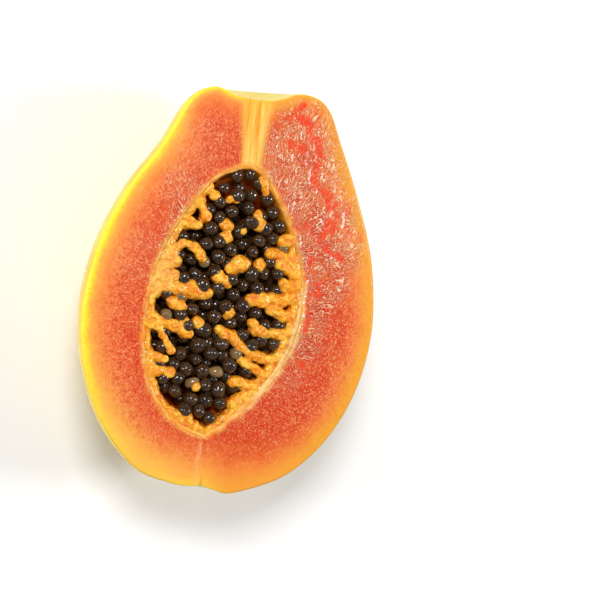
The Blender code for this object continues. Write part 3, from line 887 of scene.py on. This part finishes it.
def make_pulp():
    """Wet orange-yellow tissue, with painted shade: deeper orange on its sides below the cut top, and darker
    still down between the seeds.
    """
    finish, tree, shader = start_material("wet_pulp", {
        "IOR": 1.38, "Subsurface Weight": 0.25, "Subsurface Radius": (1.0, 0.5, 0.15),
        "Subsurface Scale": 1.8 * MM, "Coat Roughness": 0.1, "Coat IOR": 1.34,
    })
    place, x, y, z = place_in_mm(tree)
    patchy = cloud(place, 2.6, detail=3.0, roughness=0.6, distortion=0.6)
    base = ramp(patchy, [
        (0.3, 226, 114, 2), (0.42, 236, 142, 4), (0.54, 244, 166, 12), (0.68, 250, 196, 62)])
    # painted shade: darker orange on the sides and deeper down, where the pulp lies in shade between the
    # seeds
    sides = fade(z, CUT_HEIGHT - 3.0, CUT_HEIGHT - 0.3, 0.95)
    base = tint(base, sides, 194, 76, 4)
    deep = fade(z, CUT_HEIGHT - 9, CUT_HEIGHT - 3, 0.85)
    base = tint(base, deep, 140, 50, 12)
    by_wall = times(fade(x, -31, -20), step_up(y, -2, 6), fade(y, 18, 28))
    base = tint(base, times(by_wall, 0.6), 246, 194, 96)
    folds = cloud(place, 2.4, roughness=0.45, distortion=1.0)
    # painted shade in the folds' creases and painted highlights along their ridges
    base = tint(base, times(contours(folds, 2.0, 2.6), 0.35), 206, 90, 4)
    base = tint(base, times(contours(folds, 2.0, 0.4), 0.4), 255, 206, 84)
    cells = put_cells(place, 0.6)
    base = tint(base, times(cells["Pale cells"], 0.08), 255, 206, 90)
    base = tint(base, times(cells["Dark cells"], 0.06), 214, 100, 10)
    connect(shader, {
        "Base Color": base, "Roughness": step_up(cells["Height"], 0.5, 1.1, 0.2, 0.4),
        "Coat Weight": step_up(patchy, 0.35, 0.65, 0.5, 1.0),
        "Normal": bump(times_plus(cells["Height"], 0.12, folds), 1.1 * MM),
    })
    return finish


pulp_sizes = {
    "Voxel": 0.46 * MM, "Smoothing": 3, "Fold size": 3.4 * MM, "Fold height": 0.7 * MM,
    "Grain size": 2.0 * MM, "Grain height": 0.08 * MM, "Top": (CUT_HEIGHT + 0.1) * MM, "Finish": make_pulp(),
}
pulp = grown("pulp", ball_points(), pulp_tree(pulp_sizes), pulp_sizes)
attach(pulp, "root")
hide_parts("papaya_half")

# Seeds
# About a hundred ripe seeds show, egg-shaped and nearly black, each in a clear wet coat that looks
# grey-brown where it is seen edge on. They lie loose, packed in the cavity up to a low dome.

SEED_AXES = (3.1, 2.6, 2.45)  # half its length, width and height
SEED_SPACING = 4.8  # least distance between the middles of two seeds
SEED_DRAWS = 12000  # how many places are tried
SEED_RANDOM = 7
SEED_GAP = 0.2  # least distance from the wall
DOME_EDGE = -3.6  # height of the highest seeds' middles by the wall
DOME_RISE = 2.1  # how much higher they are in the cavity's middle
BED_DEPTH = 2.8  # the seeds that show reach that far below the highest ones
BED_CROWDING = 1.6  # above 1 most of them lie near the top
TOP_SEED = (-4.0, 43.2, -2.2)  # one lies high, against the cavity's upper end
WALL_INSET = 2.7  # a row of seeds touches the bare right wall, with their middles that far from it
WALL_ROW_TOP = -2.4  # and up to that height
LEFTMOST = min(x for x, _ in CAVITY_LEFT)
RIGHTMOST = max(x for x, _ in CAVITY_RIGHT)
# Seeds that didn't ripen, by place: they are the ones nearest to these
UNRIPE_PLACES = [
    (17, 18), (-11.5, 9), (-17.5, -3), (-31.5, -8), (1.5, -23.5), (-4.5, -30.5), (-12, -32.5),
]


def dome(x, y):
    """Height of the bed of seeds at a place in the cut face."""
    return DOME_EDGE + DOME_RISE * math.sqrt(max(0.0, 1 - filling(x, y, 0) ** 2))


def clear_of_wall(centre, reach):
    """True where a ball of that radius doesn't touch the cavity's wall."""
    for eighth in range(8):
        for tilt in (-0.8, 0.0, 0.8):
            turned = Euler((0, tilt, math.tau * eighth / 8)).to_matrix()
            if filling(*(centre + turned @ Vector((reach, 0, 0)))) > 1:
                return False
    return True


pulp_spots = []
for path in pulp_paths:
    for (a, ra), (b, rb) in zip(path, path[1:]):
        pulp_spots += [(a.lerp(b, k / 4), ra + (rb - ra) * k / 4) for k in range(5)]


def clear_of_pulp(centre):
    return all((centre - spot).length > radius for spot, radius in pulp_spots)


def any_turn(draw):
    return Euler([draw.uniform(0, math.pi) for _ in range(3)])


def any_spot(draw):
    """A place in the box round the cavity's outline."""
    return draw.uniform(LEFTMOST, RIGHTMOST), draw.uniform(CAVITY_LEFT[-1][1], CAVITY_LEFT[0][1])


def wall_row(draw):
    """A row of seeds that touch the bare right wall, where no pulp holds them off."""
    row = [(Vector(TOP_SEED), Euler((0.4, 0.2, 1.1)))]
    for spot in RIGHT_CURVE:
        centre = Vector((spot.x - WALL_INSET, spot.y, WALL_ROW_TOP - draw.random()))
        if spot.y < BARE_RIGHT + 1 or (centre - row[-1][0]).length < SEED_SPACING:
            continue
        if clear_of_pulp(centre):
            row.append((centre, any_turn(draw)))
    return row


def seed_places():
    """Centres and turns of the seeds that show, dropped at random and kept where there is room."""
    draw = random.Random(SEED_RANDOM)
    places = wall_row(draw)
    for _ in range(SEED_DRAWS):
        x, y = any_spot(draw)
        sink = BED_DEPTH * draw.random() ** BED_CROWDING
        turn = any_turn(draw)
        centre = Vector((x, y, dome(x, y) - sink))
        if any((centre - other).length < SEED_SPACING for other, _ in places):
            continue
        if clear_of_pulp(centre) and clear_of_wall(centre, max(SEED_AXES) + SEED_GAP):
            places.append((centre, turn))
    return places


def seed_points(name, places):
    """Seeds' centres as loose points, each with its turn."""
    mesh = loose_points(name, places)
    add_fact(mesh, "turn", [tuple(turn) for _, turn in places], kind="FLOAT_VECTOR", field="vector")
    return mesh


def seed_tree(sizes):
    """An egg-shaped seed at each point, a little different each time, with a wrinkled coat."""
    tree, given, place = start_tree("seed_bed", sizes)
    corners = work_out("ADD", given["Squares"], 1)
    cube = put_node("GeometryNodeMeshCube", {
        "Size": (2, 2, 2), "Vertices X": corners, "Vertices Y": corners, "Vertices Z": corners}).outputs[0]
    ball = put_node("ShaderNodeVectorMath", {0: place}, operation="NORMALIZE").outputs[0]
    x, y, z = axes_of(ball)
    taper = times_plus(x, -0.12, 1.0)
    egg = put_node("ShaderNodeCombineXYZ", {
        "X": times(x, given["Length"]),
        "Y": times(y, taper, given["Width"]),
        "Z": times(z, taper, given["Height"]),
    }).outputs[0]
    limits = {2: given["Smallest"], 3: given["Largest"], "Seed": given["Random"]}
    size, tone = (
        put_node("FunctionNodeRandomValue", inputs, tree, data_type="FLOAT").outputs[1]
        for inputs in (limits, {2: 0.0, 3: 1.0, "Seed": 3}))
    turn = put_node("FunctionNodeEulerToRotation", {0: fact(tree, "turn", "FLOAT_VECTOR")}).outputs[0]
    copies = put_node("GeometryNodeInstanceOnPoints", {
        "Points": given["Geometry"], "Instance": moved(cube, Position=egg), "Rotation": turn, "Scale": size,
    }).outputs[0]
    toned = put_node("GeometryNodeStoreNamedAttribute", {
        "Geometry": copies, "Name": "tone", "Value": tone}, data_type="FLOAT", domain="INSTANCE").outputs[0]
    real = put_node("GeometryNodeRealizeInstances", {"Geometry": toned}).outputs[0]
    wrinkles = centred(cloud(place, given["Wrinkle size"], distortion=0.4))
    return end_tree(push_out(real, times(wrinkles, given["Wrinkle height"])), given["Finish"])


def make_seed_coat(name, core, core_other, edge, cloudy):
    """A dark seed in a clear wet coat: the coat's own colour shows where it is seen edge on."""
    finish, tree, shader = start_material(name, {
        "Specular IOR Level": 0.15, "Coat Weight": 1.0, "Coat Roughness": 0.04, "Coat IOR": 1.52,
    })
    place = place_in_mm(tree)[0]
    ridges = cloud(place, 0.8, detail=3.0, roughness=0.6, distortion=1.0)
    tone = work_out("POWER", read(tree, "tone"), 2.0)
    base = blend(tone, core, core_other)
    base = blend(step_up(ridges, 0.5, 0.66, 0.0, 0.35), base, edge)
    rim = put_node("ShaderNodeLayerWeight", {"Blend": 0.35}, tree).outputs["Facing"]
    base = blend(times(rim, cloudy), base, edge)
    connect(shader, {
        "Base Color": base, "Roughness": step_up(ridges, 0.3, 0.7, 0.14, 0.3),
        "Normal": bump(ridges, 0.9 * MM),
    })
    return finish


places = seed_places()
unripe = []
for x, y in UNRIPE_PLACES:
    nearest = min(places, key=lambda p: math.hypot(p[0].x - x, p[0].y - y))
    if nearest not in unripe:
        unripe.append(nearest)
ripe = [p for p in places if p not in unripe]
ripe_coat = make_seed_coat("ripe_seed", shade(3, 2, 1), shade(46, 26, 10), shade(144, 94, 42), 0.6)
seed_sizes = {
    "Length": SEED_AXES[0] * MM, "Width": SEED_AXES[1] * MM, "Height": SEED_AXES[2] * MM,
    "Smallest": 0.84, "Largest": 1.06, "Squares": 6, "Wrinkle size": 1.6 * MM, "Wrinkle height": 0.5 * MM,
    "Random": 1, "Finish": ripe_coat,
}
bed = seed_tree(seed_sizes)
seeds = grown("seeds", seed_points("seeds", ripe), bed, seed_sizes)
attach(seeds, "root")
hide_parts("seeds")

# Unripe seeds
# A few seeds stayed small and pale, beige to olive, in the same clear coat.

pale_coat = make_seed_coat("unripe_seed", shade(146, 108, 60), shade(112, 90, 46), shade(196, 160, 110), 0.5)
pale_seeds = grown("unripe_seeds", seed_points("unripe_seeds", unripe), bed, {
    **seed_sizes, "Width": 2.3 * MM, "Smallest": 0.85, "Largest": 1.0, "Random": 2, "Finish": pale_coat})
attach(pale_seeds, "root")
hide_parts("seeds")

# Seeds below
# The same ripe seeds fill the cavity down to its floor. Only glimpses of them show, so they are plainer.

DEEP_DRAWS = 9000  # how many places are tried
DEEP_SPACING = 4.3  # least distance between the middles of two
DEEP_RANDOM = 31


def deep_places():
    """Centres and turns of the seeds under those that show."""
    draw = random.Random(DEEP_RANDOM)
    deepest = CAVITY_DEPTH * (RIGHTMOST - LEFTMOST) / 2
    taken = np.array([tuple(centre) for centre, _ in places])
    found = []
    for _ in range(DEEP_DRAWS):
        x, y = any_spot(draw)
        z = -deepest * draw.random()
        turn = any_turn(draw)
        centre = Vector((x, y, z))
        if z > dome(x, y) - BED_DEPTH or filling(x, y, z) > 0.9:
            continue
        if np.linalg.norm(taken - np.array((x, y, z)), axis=1).min() < DEEP_SPACING:
            continue
        if clear_of_pulp(centre) and clear_of_wall(centre, max(SEED_AXES)):
            found.append((centre, turn))
            taken = np.vstack([taken, (x, y, z)])
    return found


deep_seeds = grown("seeds_below", seed_points("seeds_below", deep_places()), bed, {
    **seed_sizes, "Squares": 3, "Random": 4})
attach(deep_seeds, "root")
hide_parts("seeds")

# Floor
# A plain pale studio floor, which isn't part of the fruit.

FLOOR_SIZE = 6.0
floor_mesh = bpy.data.meshes.new("floor")
corners = [(x * FLOOR_SIZE / 2, y * FLOOR_SIZE / 2, 0) for x, y in ((-1, -1), (1, -1), (1, 1), (-1, 1))]
floor_mesh.from_pydata(corners, [], [(0, 1, 2, 3)])
floor = add_object("floor", floor_mesh)
paper = start_material("white_paper", {
    "Base Color": (0.95, 0.95, 0.96, 1), "Roughness": 0.9, "Specular IOR Level": 0.1})[0]
floor_mesh.materials.append(paper)

# Lights
# A broad soft box overhead, one to the right that the wet flesh mirrors, a strip to the left, and
# a white room.


def soft_box(name, side, back, up, size, power):
    """A soft light that far from the cut face, turned to it. Sizes in metres, power in watts."""
    lamp = bpy.data.lights.new(name, "AREA")
    lamp.shape = "RECTANGLE"
    lamp.size, lamp.size_y = size
    lamp.energy = power
    light = add_object(name, lamp)
    light.location = Vector((side, back, up))
    aim = Vector((0, 0, CUT_HEIGHT * MM)) - light.location
    light.rotation_euler = aim.to_track_quat("-Z", "Y").to_euler()


soft_box("key_box", -0.35, 0.45, 0.95, (0.3, 0.3), 7.2)
soft_box("mirror_box", 0.85, 0.1, 0.8, (0.26, 0.3), 6.0)
soft_box("left_strip", -0.9, 0.1, 0.3, (0.16, 0.8), 3.8)
room = bpy.data.worlds.new("white_room")
room.use_nodes = True
room.node_tree.nodes["Background"].inputs["Color"].default_value = (1, 1, 1, 1)
room.node_tree.nodes["Background"].inputs["Strength"].default_value = 0.28
bpy.context.scene.world = room
bpy.context.scene.view_settings.view_transform = "Standard"

# Camera
# It looks down on the cut face from the left, turned so that the fruit stands left of the middle.

LEAN_LEFT = 21.0  # degrees that the camera stands left of straight above
LEAN_BACK = 3.5  # and towards the stem
ROLL = 6.3  # degrees that it is rolled
AIM = Vector((0, 0, 0.039))  # what it circles, in metres like the rest here
AWAY = 0.6238  # from there
LOOK_RIGHT = 0.0284  # how far beside the aim it looks, so that the fruit stands left of the middle
LOOK_UP = 0.0009
lens = bpy.data.cameras.new("camera")
lens.lens = 100
lens.sensor_width = 36
camera = add_object("camera", lens)
lean, back, roll = (math.radians(angle) for angle in (LEAN_LEFT, LEAN_BACK, ROLL))
out = Vector((-math.sin(lean) * math.cos(back), math.sin(back), math.cos(lean) * math.cos(back)))
up = (Vector((0, 1, 0)) - out * out.y).normalized()
right = up.cross(out)
right, up = right * math.cos(roll) + up * math.sin(roll), up * math.cos(roll) - right * math.sin(roll)
camera.location = AIM + out * AWAY
backwards = (camera.location - (AIM + right * LOOK_RIGHT + up * LOOK_UP)).normalized()
right = (right - backwards * right.dot(backwards)).normalized()
up = backwards.cross(right)
camera.rotation_euler = Matrix((right, up, backwards)).transposed().to_euler()
bpy.context.scene.camera = camera
